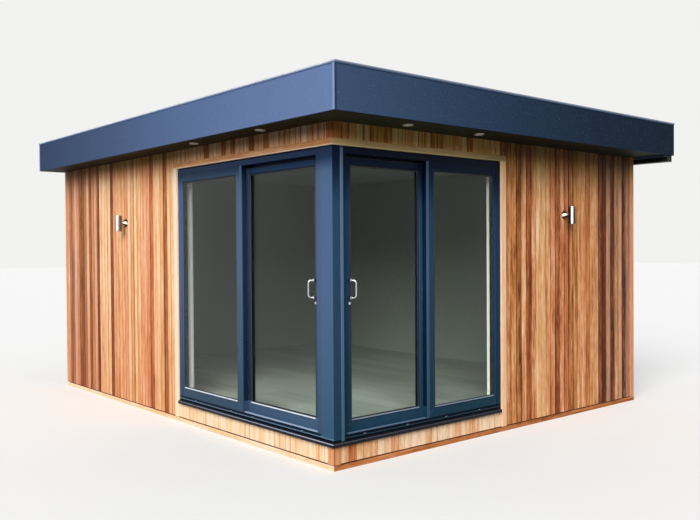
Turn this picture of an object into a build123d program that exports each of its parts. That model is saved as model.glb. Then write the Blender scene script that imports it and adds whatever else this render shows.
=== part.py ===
from build123d import *
import os

# Garden office pod: a timber building with a glazed corner, flat oversailing roof and two
# sliding doors that meet at a corner post. Millimetres, +Z up. The origin is on the ground,
# under the middle of the base. The front faces -Y, and the glazed corner is at (-X, -Y).
#
# Pieces are first drawn from the glazed corner: X runs along the front wall, Y along the left
# wall, and "depth" is measured inwards from the outer face of the boards. Each door is drawn
# on the front wall, and the one in the left wall is the mirror image across the diagonal.

# Overall sizes
front_length = 3785.0
left_length = 4670.0
soffit_level = 2360.0
fascia_height = 302.0
front_overhang = 358.0
left_overhang = 270.0
back_overhang = 35.0
right_overhang = 116.0

# Walls, floor and base
cladding_thickness = 20.0
wall_thickness = 150.0
base_strip_height = 34.0
base_strip_proud = 5.0
board_foot_gap = 4.0
floor_frame_height = 163.0
floor_deck_thickness = 27.0
ceiling_thickness = 13.0
corner_trim_width = 60.0
corner_trim_proud = 4.0

# Door openings, from the glazed corner to the far side of each
front_opening = 1766.0
left_opening = 2128.0
cill_thickness = 30.0
cill_nose = 28.0
opening_top = 2200.0
door_trim_width = 58.0
door_trim_height = 48.0
door_trim_proud = 10.0

# Corner post
post_front_width = 73.0
post_side_width = 134.0
post_bead_width = 20.0
post_bead_proud = 9.0
post_seam_place = 34.0
post_seam_width = 3.0
post_seam_depth = 3.0

# Door frames
frame_setback = 6.0
frame_depth = 120.0
frame_face = 50.0
frame_rebate_height = 9.0
frame_rebate_depth = 14.0
frame_step_height = 35.0
frame_outer_part = 46.0
frame_inner_wall = 17.0
frame_inner_face = 25.0
track_floor = 17.0
track_rail_width = 8.0
head_skin = 15.0

# Sashes
sash_thickness = 42.0
fixed_sash_recess = 4.0
running_gap = 5.0
seat_gap = 0.3
fixed_bottom_rail = 75.0
fixed_top_rail = 74.0
fixed_jamb_stile = 33.0
fixed_meeting_stile = 95.0
meeting_strip_width = 25.0
meeting_strip_proud = 4.0
sliding_bottom_rail = 88.0
sliding_top_rail = 54.0
sliding_lock_stile = 112.0
sliding_meeting_stile = 80.0
sliding_top = 2130.0
meeting_overlap = 43.0
meeting_offset = 9.0
glass_thickness = 24.0
bead_width = 14.0
bead_depth = 10.0

# Door handles
handle_level = 1223.0
handle_foot_spacing = 120.0
handle_foot_place = 83.0
handle_foot_radius = 11.0
handle_foot_length = 30.0
handle_reach = 56.0
handle_crank = 21.0
handle_bar_radius = 6.5
handle_bend_radius = 20.0
lock_radius = 10.0
lock_length = 12.0
lock_drop = 100.0
handle_clearance = 8.0

# Roof
fascia_thickness = 20.0
soffit_thickness = 12.0
roof_below_cap = 20.0
roof_fall = 152.0
membrane_thickness = 8.0
membrane_drip = 30.0
edge_trim_height = 14.0
edge_trim_width = 34.0
edge_trim_proud = 4.0
fascia_strip_width = 16.0
fascia_strip_proud = 2.5

# Eaves board, gutter and downpipe at the low side of the roof
eaves_gap = 6.0
eaves_board_drop = 15.0
gutter_width = 84.0
gutter_height = 72.0
gutter_rim_above_soffit = 14.0
gutter_wall = 3.0
downpipe_radius = 34.0
downpipe_place = 260.0
downpipe_foot_gap = 60.0
clip_width = 24.0
clip_height = 30.0

# Lamps
wall_light_radius = 31.0
wall_light_height = 170.0
front_light_level = 1784.0
left_light_level = 1759.0
wall_light_standoff = 80.0
wall_light_arm_radius = 12.0
wall_light_plate_radius = 34.0
wall_light_plate_thickness = 12.0
front_light_place = 2643.0
left_light_place = 3150.0
downlight_radius = 38.0
downlight_thickness = 6.0
downlight_lens_radius = 26.0
downlight_lens_recess = 3.0
front_downlights = (538.0, 1293.0)
left_downlights = (650.0, 1595.0)

# Derived levels and depths
plinth_bottom = base_strip_height + board_foot_gap
cill_top = floor_frame_height + cill_thickness
trim_top = opening_top + door_trim_height
fascia_top = soffit_level + fascia_height
frame_front = frame_setback
frame_back = frame_setback + frame_depth
outer_part_back = frame_front + frame_outer_part
fixed_front = frame_front + fixed_sash_recess
fixed_back = fixed_front + sash_thickness
sliding_front = outer_part_back + running_gap
sliding_back = sliding_front + sash_thickness
step_top = cill_top + frame_step_height
head_bottom = opening_top - frame_face
sliding_bottom = step_top - running_gap
front_wall_end = front_opening + door_trim_width
left_wall_end = left_opening + door_trim_width

pieces = {}


def block(low, high):
    """A box from its lowest to its highest corner."""
    size = [high[i] - low[i] for i in range(3)]
    corner = (Align.MIN, Align.MIN, Align.MIN)
    return Pos(*low) * Box(*size, align=corner)


def together(shapes):
    """Separate solids that share one piece."""
    return Compound([solid for shape in shapes for solid in shape.solids()])


def across_diagonal(shape):
    """The same piece on the left wall: X and Y change places about the glazed corner."""
    return shape.mirror(Plane((0, 0, 0), z_dir=(1, -1, 0)))


def upright_prism(outline, low_z, high_z):
    """A closed outline in plan, carried straight up."""
    face = make_face(Polyline(*outline, close=True))
    return Pos(0, 0, low_z) * extrude(face, high_z - low_z, dir=(0, 0, 1))


def elevation_prism(outline, near, far):
    """A closed outline of (x, z) points on the front wall, carried inwards from near to far."""
    points = [(x, near, z) for x, z in outline]
    face = make_face(Polyline(*points, close=True))
    return extrude(face, far - near, dir=(0, 1, 0))


def build_base():
    """Floor frame, floor deck and the thin strips round the foot of the boards."""
    skin = cladding_thickness
    pieces["floor_frame"] = block(
        (skin, skin, 0), (front_length - skin, left_length - skin, floor_frame_height))
    inner = wall_thickness
    top = floor_frame_height + floor_deck_thickness
    deck = block((inner, inner, floor_frame_height), (front_length - inner, left_length - inner, top))
    deck += block((frame_back, frame_back, floor_frame_height), (front_opening, inner, top))
    deck += block((frame_back, frame_back, floor_frame_height), (inner, left_opening, top))
    pieces["floor_deck"] = deck
    proud = base_strip_proud
    front = block((-proud, -proud, 0), (front_length + proud, skin, base_strip_height))
    back = block((-proud, left_length - skin, 0),
                 (front_length + proud, left_length + proud, base_strip_height))
    near = skin + seat_gap
    far = left_length - skin - seat_gap
    left = block((-proud, near, 0), (skin, far, base_strip_height))
    right = block((front_length - skin, near, 0), (front_length + proud, far, base_strip_height))
    pieces["base_strips"] = together([front, back, left, right])


def build_walls():
    """Insulated wall panels, white inside, and the header over both doors."""
    skin = cladding_thickness
    thick = wall_thickness
    low = floor_frame_height
    high = soffit_level
    pieces["front_wall"] = block(
        (front_opening, skin, low), (front_length - skin, thick, high))
    pieces["left_wall"] = block(
        (skin, left_opening, low), (thick, left_length - skin, high))
    pieces["back_wall"] = block(
        (thick, left_length - thick, low), (front_length - skin, left_length - skin, high))
    pieces["right_wall"] = block(
        (front_length - thick, thick, low), (front_length - skin, left_length - thick, high))
    front = block((skin, skin, opening_top), (front_opening, thick, high))
    left = block((skin, thick + seat_gap, opening_top), (thick, left_opening, high))
    pieces["door_headers"] = together([front, left])


def build_cladding():
    """Upright cedar boards, as one skin a side, with the bands over and under the doors."""
    skin = cladding_thickness
    trim = corner_trim_width
    low = plinth_bottom
    high = soffit_level
    pieces["front_cladding"] = block(
        (front_wall_end, 0, low), (front_length - trim, skin, high))
    pieces["left_cladding"] = block(
        (0, left_wall_end, low), (skin, left_length - trim, high))
    pieces["back_cladding"] = block(
        (trim, left_length - skin, low), (front_length - trim, left_length, high))
    pieces["right_cladding"] = block(
        (front_length - skin, trim, low), (front_length, left_length - trim, high))
    for name, bottom, top in (("header_cladding", trim_top, high),
                              ("plinth_cladding", low, floor_frame_height)):
        front_end = front_wall_end if bottom == trim_top else front_opening
        left_end = left_wall_end if bottom == trim_top else left_opening
        front = block((trim, 0, bottom), (front_end, skin, top))
        left = block((0, trim, bottom), (skin, left_end, top))
        pieces[name] = together([front, left])


def corner_angle(x_side, y_side, low, high):
    """A cedar angle on an outer corner. Each side is 1 at the far end and -1 at the glazed end."""
    trim = corner_trim_width
    skin = cladding_thickness
    proud = corner_trim_proud
    if x_side > 0:
        x_out, x_skin, x_leg = front_length + proud, front_length - skin, front_length - trim
    else:
        x_out, x_skin, x_leg = -proud, skin, trim
    if y_side > 0:
        y_out, y_skin, y_leg = left_length + proud, left_length - skin, left_length - trim
    else:
        y_out, y_skin, y_leg = -proud, skin, trim
    outline = [(x_out, y_out), (x_leg, y_out), (x_leg, y_skin), (x_skin, y_skin),
               (x_skin, y_leg), (x_out, y_leg)]
    return upright_prism(outline, low, high)


def build_corner_trims():
    """Cedar angles on every corner, above and below the glass on the glazed one."""
    low = plinth_bottom
    high = soffit_level
    angles = [corner_angle(1, -1, low, high), corner_angle(1, 1, low, high),
              corner_angle(-1, 1, low, high), corner_angle(-1, -1, trim_top, high),
              corner_angle(-1, -1, low, floor_frame_height)]
    pieces["corner_trims"] = together(angles)


def build_door_trim():
    """Cedar battens over the doors and down the far side of each."""
    skin = cladding_thickness
    proud = door_trim_proud
    front = block((-proud, -proud, opening_top), (front_wall_end, skin, trim_top))
    left = block((-proud, skin + seat_gap, opening_top), (skin, left_wall_end, trim_top))
    pieces["door_head_trims"] = together([front, left])
    low = plinth_bottom
    high = opening_top
    front = block((front_opening, -proud, low), (front_wall_end, skin, high))
    left = block((-proud, left_opening, low), (skin, left_wall_end, high))
    pieces["door_side_trims"] = together([front, left])


def build_post_and_cill():
    """Corner post between the two door frames, and the mitred cill under them."""
    face = frame_setback
    arm = frame_back + seat_gap
    outline = [
        (face, face), (post_front_width, face), (post_front_width, arm), (frame_back, arm),
        (frame_back, post_side_width), (face, post_side_width),
        (face, post_seam_place + post_seam_width),
        (face + post_seam_depth, post_seam_place + post_seam_width / 2),
        (face, post_seam_place)]
    post = upright_prism(outline, cill_top, opening_top)
    near = face - seat_gap
    outline = [
        (post_front_width, near), (post_front_width, near - post_bead_proud),
        (post_front_width + post_bead_width, near - post_bead_proud),
        (post_front_width + post_bead_width, near)]
    bead = upright_prism(outline, cill_top, opening_top - frame_rebate_height)
    pieces["corner_post"] = together([post, bead])
    nose = -cill_nose
    front = [(nose, nose), (front_opening, nose), (front_opening, frame_back),
             (frame_back, frame_back)]
    left = [(nose, nose + seat_gap), (frame_back, frame_back + seat_gap),
            (frame_back, left_opening), (nose, left_opening)]
    cills = [upright_prism(outline, floor_frame_height, cill_top) for outline in (front, left)]
    pieces["door_cills"] = together(cills)


def frame_rails(start, end):
    """Head and sill of one door frame, as two sections carried along the wall."""
    sill = [
        (frame_front, cill_top), (frame_front, step_top), (outer_part_back, step_top),
        (outer_part_back, cill_top + track_floor),
        (rail_front(), cill_top + track_floor), (rail_front(), sliding_bottom - seat_gap),
        (rail_front() + track_rail_width, sliding_bottom - seat_gap),
        (rail_front() + track_rail_width, cill_top + track_floor),
        (frame_back - frame_inner_wall, cill_top + track_floor),
        (frame_back - frame_inner_wall, step_top), (frame_back, step_top),
        (frame_back, cill_top)]
    rebate_back = frame_front + frame_rebate_depth
    rebate_bottom = opening_top - frame_rebate_height
    head = [
        (rebate_back, opening_top), (rebate_back, rebate_bottom), (frame_front, rebate_bottom),
        (frame_front, head_bottom), (outer_part_back, head_bottom),
        (outer_part_back, opening_top - head_skin),
        (frame_back - frame_inner_wall, opening_top - head_skin),
        (frame_back - frame_inner_wall, head_bottom), (frame_back, head_bottom),
        (frame_back, opening_top)]
    members = []
    for section in (sill, head):
        points = [(start, depth, level) for depth, level in section]
        members.append(extrude(make_face(Polyline(*points, close=True)), end - start,
                               dir=(1, 0, 0)))
    members[1] += block((start + frame_inner_face, rail_front(), sliding_top + running_gap),
                        (end - frame_inner_face, rail_front() + track_rail_width,
                         opening_top - head_skin))
    return together(members)


def rail_front():
    """Depth of the near side of the track rail, under the middle of the sliding sash."""
    return sliding_front + (sash_thickness - track_rail_width) / 2


def frame_jambs(start, end):
    """Both jambs of one door frame, between its sill and its head."""
    low = step_top
    high = head_bottom
    near = [
        (start, frame_front), (start + frame_face, frame_front),
        (start + frame_face, outer_part_back), (start + frame_inner_face, outer_part_back),
        (start + frame_inner_face, frame_back), (start, frame_back)]
    far = [
        (end, frame_front), (end - frame_face, frame_front), (end - frame_face, outer_part_back),
        (end - frame_inner_face, outer_part_back), (end - frame_inner_face, frame_back),
        (end, frame_back)]
    return together([upright_prism(near, low, high), upright_prism(far, low, high)])


def sash(low, high, bottom_rail, top_rail, left_stile, right_stile, near, strip_side=0):
    """A mitred sash ring with a sloped glazing bead. low and high are its (x, z) corners."""
    (x0, z0), (x1, z1) = low, high
    far = near + sash_thickness
    ring = block((x0, near, z0), (x1, far, z1))
    if strip_side:
        edge = x0 if strip_side < 0 else x1 - meeting_strip_width
        ring += block((edge, near - meeting_strip_proud, z0),
                      (edge + meeting_strip_width, near, z1))
    hole_low = (x0 + left_stile, z0 + bottom_rail)
    hole_high = (x1 - right_stile, z1 - top_rail)
    ring -= block((hole_low[0], near - 1, hole_low[1]), (hole_high[0], far + 1, hole_high[1]))
    wide = [(hole_low[0] - bead_width, hole_low[1] - bead_width),
            (hole_high[0] + bead_width, hole_low[1] - bead_width),
            (hole_high[0] + bead_width, hole_high[1] + bead_width),
            (hole_low[0] - bead_width, hole_high[1] + bead_width)]
    narrow = [hole_low, (hole_high[0], hole_low[1]), hole_high, (hole_low[0], hole_high[1])]
    outer_face = make_face(Polyline(*[(x, near, z) for x, z in wide], close=True))
    inner_face = make_face(Polyline(*[(x, near + bead_depth, z) for x, z in narrow], close=True))
    ring -= loft([outer_face, inner_face])
    return ring, hole_low, hole_high


def pane(hole_low, hole_high, near):
    """A double-glazed unit that fills the sash, behind the bead."""
    front = near + bead_depth
    return block((hole_low[0], front, hole_low[1]),
                 (hole_high[0], front + glass_thickness, hole_high[1]))


def door_handle(x_foot, x_toward):
    """A cranked pull on two posts, with a lock cylinder under it."""
    face = sliding_front
    knee = face - handle_foot_length
    grip_depth = face - handle_reach
    grip_x = x_foot + handle_crank * x_toward
    shape = None
    half = handle_foot_spacing / 2
    for side in (-1, 1):
        level = handle_level + side * half
        post = Pos(x_foot, face, level) * Rot(90, 0, 0) * Cylinder(
            handle_foot_radius, handle_foot_length,
            align=(Align.CENTER, Align.CENTER, Align.MIN))
        shape = post if shape is None else shape + post
    points = [
        (x_foot, knee + handle_bar_radius, handle_level - half),
        (grip_x, grip_depth, handle_level - half),
        (grip_x, grip_depth, handle_level + half),
        (x_foot, knee + handle_bar_radius, handle_level + half)]
    path = FilletPolyline(*points, radius=handle_bend_radius)
    start = Plane(origin=path @ 0, z_dir=path % 0)
    shape += sweep(start * Circle(handle_bar_radius), path=path)
    lock = Pos(x_foot, face, handle_level - lock_drop) * Rot(90, 0, 0) * Cylinder(
        lock_radius, lock_length, align=(Align.CENTER, Align.CENTER, Align.MIN))
    return together([shape, lock])


def door_unit(start, opening):
    """Frame, fixed sash, sliding sash, glass and handle of one door, on the front wall."""
    middle = (start + opening) / 2
    fixed_edge = middle - meeting_offset
    fixed, low, high = sash(
        (fixed_edge, step_top), (opening - frame_face, head_bottom), fixed_bottom_rail,
        fixed_top_rail, fixed_meeting_stile, fixed_jamb_stile, fixed_front, strip_side=-1)
    fixed_glass = pane(low, high, fixed_front)
    lock_edge = start + frame_inner_face + running_gap
    sliding, low, high = sash(
        (lock_edge, sliding_bottom), (fixed_edge + meeting_overlap, sliding_top),
        sliding_bottom_rail, sliding_top_rail, sliding_lock_stile, sliding_meeting_stile,
        sliding_front)
    sliding_glass = pane(low, high, sliding_front)
    handle = door_handle(lock_edge + handle_foot_place, 1)
    reach = lock_edge + handle_foot_place + handle_crank + handle_bar_radius
    travel = fixed_edge - handle_clearance - reach
    print("travel", round(travel, 1), "sash end when open",
          round(fixed_edge + meeting_overlap + travel, 1), "far jamb", opening - frame_face)
    return {
        "frame_rails": frame_rails(start, opening), "frame_jambs": frame_jambs(start, opening),
        "fixed_sash": fixed, "fixed_glass": fixed_glass, "sliding_sash": sliding,
        "sliding_glass": sliding_glass, "handle": handle}


def build_doors():
    """The front door, and its mirror image of another width in the left wall."""
    front = door_unit(post_front_width, front_opening)
    left = door_unit(post_side_width, left_opening)
    for name in ("frame_rails", "frame_jambs", "sliding_sash", "sliding_glass", "handle"):
        pieces["front_" + name] = front[name]
        pieces["left_" + name] = across_diagonal(left[name])
    for name in ("fixed_sash", "fixed_glass"):
        both = [front[name], across_diagonal(left[name])]
        pieces[name.replace("sash", "sashes")] = together(both)


def roof_outline(inset=0.0):
    """Lowest and highest plan corners of the roof, moved in by inset."""
    low = (-left_overhang + inset, -front_overhang + inset)
    high = (front_length + right_overhang - inset, left_length + back_overhang - inset)
    return low, high


def build_roof():
    """Ceiling, roof panel with its fall, membrane, soffits, fascias and trims."""
    skin = wall_thickness
    pieces["ceiling"] = block(
        (skin, skin, soffit_level - ceiling_thickness),
        (front_length - skin, left_length - skin, soffit_level))
    low, high = roof_outline(fascia_thickness)
    bottom = soffit_level + soffit_thickness
    top_high = fascia_top - roof_below_cap - membrane_thickness
    top_low = top_high - roof_fall
    eaves = front_length + eaves_gap
    board = eaves + fascia_thickness
    section = [(low[0], bottom), (eaves, bottom), (eaves, top_low), (low[0], top_high)]
    panel = elevation_prism(section, low[1], high[1])
    panel += block((0, 0, soffit_level), (eaves, high[1], bottom))
    pieces["roof_panel"] = panel
    drip = board + membrane_drip
    drop = roof_fall * (drip - low[0]) / (eaves - low[0])
    section = [(low[0], top_high), (drip, top_high - drop),
               (drip, top_high - drop + membrane_thickness), (low[0], top_high + membrane_thickness)]
    pieces["roof_membrane"] = elevation_prism(section, low[1], high[1])
    pieces["front_soffit"] = block((low[0], low[1], soffit_level), (eaves, 0, bottom))
    pieces["left_soffit"] = block((low[0], 0, soffit_level), (0, high[1], bottom))
    outer_low, outer_high = roof_outline()
    front = block((outer_low[0], outer_low[1], soffit_level), (outer_high[0], low[1], fascia_top))
    back = block((outer_low[0], high[1], soffit_level), (outer_high[0], outer_high[1], fascia_top))
    pieces["fascia_front_back"] = together([front, back])
    left = block((outer_low[0], low[1], soffit_level), (low[0], high[1], fascia_top))
    board_fall = roof_fall * (board - low[0]) / (eaves - low[0])
    right = block((eaves, low[1], soffit_level - eaves_board_drop),
                  (board, high[1], top_high - board_fall))
    pieces["fascia_sides"] = together([left, right])
    build_edge_trims(outer_low, outer_high)


def build_edge_trims(low, high):
    """The thin metal cap on the fascias, and the strips down their two left corners."""
    proud = edge_trim_proud
    foot = fascia_top - edge_trim_height
    top = fascia_top + proud
    inner = edge_trim_width
    end = high[0] + proud
    front = block((low[0] - proud, low[1] - proud, fascia_top), (end, low[1] + inner, top))
    front += block((low[0] - proud, low[1] - proud, foot), (end, low[1], fascia_top))
    back = block((low[0] - proud, high[1] - inner, fascia_top), (end, high[1] + proud, top))
    back += block((low[0] - proud, high[1], foot), (end, high[1] + proud, fascia_top))
    near = low[1] + inner + seat_gap
    far = high[1] - inner - seat_gap
    left = block((low[0] - proud, near, fascia_top), (low[0] + inner, far, top))
    left += block((low[0] - proud, low[1] + seat_gap, foot),
                  (low[0], high[1] - seat_gap, fascia_top))
    pieces["roof_edge_trim"] = together([front, left, back])
    strips = []
    wide = fascia_strip_width
    thin = fascia_strip_proud
    x = low[0]
    for y, y_in in ((low[1], 1), (high[1], -1)):
        outline = [
            (x - thin, y - thin * y_in), (x + wide, y - thin * y_in), (x + wide, y), (x, y),
            (x, y + wide * y_in), (x - thin, y + wide * y_in)]
        strips.append(upright_prism(outline, soffit_level, foot))
    pieces["fascia_corner_strips"] = together(strips)


def build_rainwater():
    """Square gutter on the eaves board, and a round downpipe near its back end."""
    low, high = roof_outline(fascia_thickness)
    inner = front_length + eaves_gap + fascia_thickness
    outer = inner + gutter_width
    rim = soffit_level + gutter_rim_above_soffit
    bottom = rim - gutter_height
    gutter = block((inner, low[1], bottom), (outer, high[1], rim))
    gutter -= block((inner + gutter_wall, low[1] + gutter_wall, bottom + gutter_wall),
                    (outer - gutter_wall, high[1] - gutter_wall, rim))
    pieces["gutter"] = gutter
    centre_x = (inner + outer) / 2
    centre_y = left_length - downpipe_place
    pipe = Pos(centre_x, centre_y, downpipe_foot_gap) * Cylinder(
        downpipe_radius, bottom - downpipe_foot_gap,
        align=(Align.CENTER, Align.CENTER, Align.MIN))
    for share in (0.15, 0.5, 0.85):
        level = downpipe_foot_gap + (bottom - downpipe_foot_gap) * share
        pipe += block((front_length, centre_y - clip_width / 2, level - clip_height / 2),
                      (centre_x, centre_y + clip_width / 2, level + clip_height / 2))
    pieces["downpipe"] = pipe


def wall_light(x_place, level):
    """An up and down lamp on the front wall: plate, short arm and upright cylinder."""
    inwards = (Align.CENTER, Align.CENTER, Align.MIN)
    plate = Pos(x_place, 0, level) * Rot(90, 0, 0) * Cylinder(
        wall_light_plate_radius, wall_light_plate_thickness, align=inwards)
    arm = Pos(x_place, 0, level) * Rot(90, 0, 0) * Cylinder(
        wall_light_arm_radius, wall_light_standoff, align=inwards)
    body = Pos(x_place, -wall_light_standoff, level) * Cylinder(
        wall_light_radius, wall_light_height)
    return plate + arm + body


def downlight(x, y):
    """A small round lamp that sits against the soffit, with a shallow recess for its lens."""
    top = (Align.CENTER, Align.CENTER, Align.MAX)
    ring = Pos(x, y, soffit_level) * Cylinder(downlight_radius, downlight_thickness, align=top)
    recess = Pos(x, y, soffit_level - downlight_thickness) * Cylinder(
        downlight_lens_radius, downlight_lens_recess,
        align=(Align.CENTER, Align.CENTER, Align.MIN))
    return ring - recess


def build_lamps():
    """Two wall lamps and four lamps in the soffit."""
    front = wall_light(front_light_place, front_light_level)
    left = across_diagonal(wall_light(left_light_place, left_light_level))
    lamps = [front, left]
    pieces["wall_lights"] = together(lamps)
    front_line = -front_overhang / 2
    left_line = -left_overhang / 2
    lamps = [downlight(x, front_line) for x in front_downlights]
    lamps += [downlight(left_line, y) for y in left_downlights]
    pieces["soffit_lights"] = together(lamps)


def write_pieces():
    """Move every piece so that the origin is under the middle of the base, and write it."""
    os.makedirs("parts", exist_ok=True)
    to_middle = Pos(-front_length / 2, -left_length / 2, 0)
    for name, shape in pieces.items():
        export_step(to_middle * shape, f"parts/{name}.step")


build_base()
build_walls()
build_cladding()
build_corner_trims()
build_door_trim()
build_post_and_cill()
build_doors()
build_roof()
build_rainwater()
build_lamps()
write_pieces()
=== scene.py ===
"""Garden office pod: cedar boards, dark blue door frames, a deep folded fascia and real glass.

Metres, +Z up, in the CAD's own frame. Sizes are written in millimetres from the glazed corner,
as they are in the solids, and place() moves them. "Along" runs along a wall from its left or
glazed end, "depth" goes inwards from the outer face of the boards, and "level" is the height.
"""
from functools import partial

import bmesh
import bpy
import numpy as np
from mathutils import Matrix, Vector


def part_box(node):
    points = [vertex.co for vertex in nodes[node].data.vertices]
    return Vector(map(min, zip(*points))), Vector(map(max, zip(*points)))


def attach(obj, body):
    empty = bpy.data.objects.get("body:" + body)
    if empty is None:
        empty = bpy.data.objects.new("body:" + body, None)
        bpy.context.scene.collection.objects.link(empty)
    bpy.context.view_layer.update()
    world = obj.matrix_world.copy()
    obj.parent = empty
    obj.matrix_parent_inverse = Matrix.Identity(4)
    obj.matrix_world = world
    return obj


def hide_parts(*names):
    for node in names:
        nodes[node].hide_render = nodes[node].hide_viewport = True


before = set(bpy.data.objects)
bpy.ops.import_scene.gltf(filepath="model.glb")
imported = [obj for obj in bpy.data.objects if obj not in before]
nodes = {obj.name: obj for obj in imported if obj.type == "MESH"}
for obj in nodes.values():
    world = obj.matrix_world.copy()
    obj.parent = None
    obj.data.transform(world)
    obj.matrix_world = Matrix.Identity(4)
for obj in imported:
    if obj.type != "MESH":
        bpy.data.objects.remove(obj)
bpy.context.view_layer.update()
MM = 0.001

# The building's sizes in millimetres, the same as those of the solids
CORNER_X, CORNER_Y = -1892.5, -2335.0
FRONT_LENGTH, SIDE_LENGTH = 3785.0, 4670.0
SKIN, TRIM = 20.0, 60.0
BOARD_FOOT, CILL_FOOT = 38.0, 163.0
DOOR_HEAD, TRIM_TOP, SOFFIT = 2200.0, 2248.0, 2360.0
FRONT_OPENING, LEFT_OPENING, SIDE_TRIM = 1766.0, 2128.0, 58.0
FRONT_BATTEN, LEFT_BATTEN = FRONT_OPENING + SIDE_TRIM, LEFT_OPENING + SIDE_TRIM
SILL_TOP, LOW_RAIL_TOP = 228.2, 318.0

# Board joints seen in the photo: one place and the pitch
FRONT_JOINT, FRONT_PITCH = 1832.0, 67.4
LEFT_JOINT, LEFT_PITCH = 2194.0, 66.1


# Colours and nodes

SHORT_NAMES = {"Blend": ("Mix", {"data_type": "RGBA"}),
               "Tint": ("Mix", {"data_type": "RGBA", "blend_type": "MULTIPLY"}),
               "Slope": ("MapRange", {}),
               "Curve": ("MapRange", {"interpolation_type": "SMOOTHSTEP"})}


def linear(hex_colour):
    """An sRGB hex colour as linear red, green, blue and 1, by the sRGB transfer curve."""
    channels = [int(hex_colour[i:i + 2], 16) / 255 for i in (0, 2, 4)]
    return (*(c / 12.92 if c <= 0.04045 else ((c + 0.055) / 1.055) ** 2.4 for c in channels), 1.0)


def add_node(made, kind, *values, out=0, stops=(), **more):
    """One node of a material or world, and its output: by place or name, or all for None.

    Values go to the sockets in use in their order, and others by name: an output is linked and
    a hex colour made linear. Lower-case names are the node's properties, a kind in capitals is
    an operation of arithmetic, and stops are a ramp's places and hex colours.
    """
    kind, preset = SHORT_NAMES.get(kind, (kind, {}))
    if kind.isupper():
        kind, preset = "Math", {"operation": kind}
    node = made.node_tree.nodes.new(f"ShaderNode{kind}")
    for name, value in {**preset, **more}.items():
        if name.islower():
            setattr(node, name, value)
    used = [socket for socket in node.inputs if socket.enabled]
    named = [(next(s for s in used if s.name == name.replace("_", " ")), value)
             for name, value in more.items() if not name.islower()]
    for socket, value in [*zip(used, values), *named]:
        if isinstance(value, bpy.types.NodeSocket):
            made.node_tree.links.new(value, socket)
        else:
            socket.default_value = linear(value) if isinstance(value, str) else value
    if stops:
        band = node.color_ramp.elements
        for _ in stops[2:]:
            band.new(0.5)
        for element, (spot, colour) in zip(band, stops):
            element.position, element.color = spot, linear(colour)
    if out is None or isinstance(out, str):
        return node.outputs if out is None else node.outputs[out]
    return [socket for socket in node.outputs if socket.enabled][out]


def nodes_for(made):
    """The function add() of a material or world, whose nodes start empty."""
    made.use_nodes = True
    made.node_tree.nodes.clear()
    return partial(add_node, made)


def material(name, **settings):
    """The function add() of a new material with one Principled shader, whose sockets take the
    settings."""
    add = nodes_for(bpy.data.materials.new(name))
    add("OutputMaterial", out=None, Surface=add("BsdfPrincipled", **settings))
    return add


def feed(add, **values):
    """The material of add(), with values linked to its shader's sockets."""
    made = add.args[0]
    sockets = made.node_tree.nodes["Principled BSDF"].inputs
    for name, value in values.items():
        made.node_tree.links.new(value, sockets[name.replace("_", " ")])
    return made


def finished(add, base, rough, height, relief_mm):
    """A material with a colour, a roughness of value x gain + least, and a relief."""
    return feed(add, Base_Color=base, Roughness=add("MULTIPLY_ADD", *rough),
                Normal=add("Bump", Strength=1.0, Distance=relief_mm * MM, Height=height))


def object_point(add):
    """The point on the piece, in metres."""
    return add("TexCoord", out="Object")


def scaled(add, point, sizes_mm):
    """A point divided by a pattern's size in each direction, given in millimetres."""
    return add(
        "VectorMath", point, tuple(1 / (size * MM) for size in sizes_mm), operation="MULTIPLY")


def cloud(add, sizes_mm, detail=2.0, roughness=0.5, point=None):
    """Smooth noise from 0 to 1, whose lumps have the given sizes in millimetres."""
    return add("TexNoise", Vector=scaled(add, point or object_point(add), sizes_mm), Scale=1.0,
               Detail=detail, Roughness=roughness)


def centred(add, value, gain):
    """gain x (value - 0.5)."""
    return add("MULTIPLY_ADD", value, gain, -0.5 * gain)


def eye_sees(add):
    """1 for what the camera sees, straight, in gloss or through glass, and 0 for soft light."""
    path = add("LightPath", out=None)
    return add("MAXIMUM", path["Is Camera Ray"],
               add("MAXIMUM", path["Is Glossy Ray"], path["Is Transmission Ray"]))


# Materials

def wall_frame(add, far=False):
    """Place along, depth and height on two walls that meet at a corner, and 1 on the one that
    runs along x. Along is the larger of x and y from that corner, and depth the smaller."""
    x, y, height = add("SeparateXYZ", object_point(add), out=None)
    way, corner_x, corner_y = 1.0, CORNER_X, CORNER_Y
    if far:
        way, corner_x, corner_y = -1.0, CORNER_X + FRONT_LENGTH, CORNER_Y + SIDE_LENGTH
    right = add("MULTIPLY_ADD", x, way, -way * corner_x * MM)
    inward = add("MULTIPLY_ADD", y, way, -way * corner_y * MM)
    return (add("MAXIMUM", right, inward), add("MINIMUM", right, inward), height,
            add("GREATER_THAN", right, inward))


GOLDEN = [(0.0, "3A1B0A"), (0.18, "6F3D1B"), (0.36, "A56A38"), (0.53, "CC8F57"),
          (0.68, "E0AA74"), (0.84, "F0C99B"), (1.0, "F8E6CC")]
SALMON = [(0.0, "3E160B"), (0.18, "6F341C"), (0.36, "AC6039"), (0.53, "D1865A"),
          (0.68, "E2A27B"), (0.84, "F1C3A2"), (1.0, "F8E0CC")]

# Painted shade under the eaves: near the soffit the wall boards turn darker and greener. Low on the
# left wall they are also a little darker and warmer. The level is in part of 2.5 m
FRONT_EAVES_SHADE = [(0.76, "FFFFFF"), (0.84, "E4E8DA"), (0.89, "DADAC0"), (0.94, "C8C8AC")]
SIDE_EAVES_SHADE = [(0.1, "F3E4DA"), (0.32, "F8EEE8"), (0.46, "FFFFFF"), (0.86, "FFFFFF"),
              (0.89, "F1E6DC"), (0.912, "E0D3B6"), (0.94, "EAE4AA")]


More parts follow.
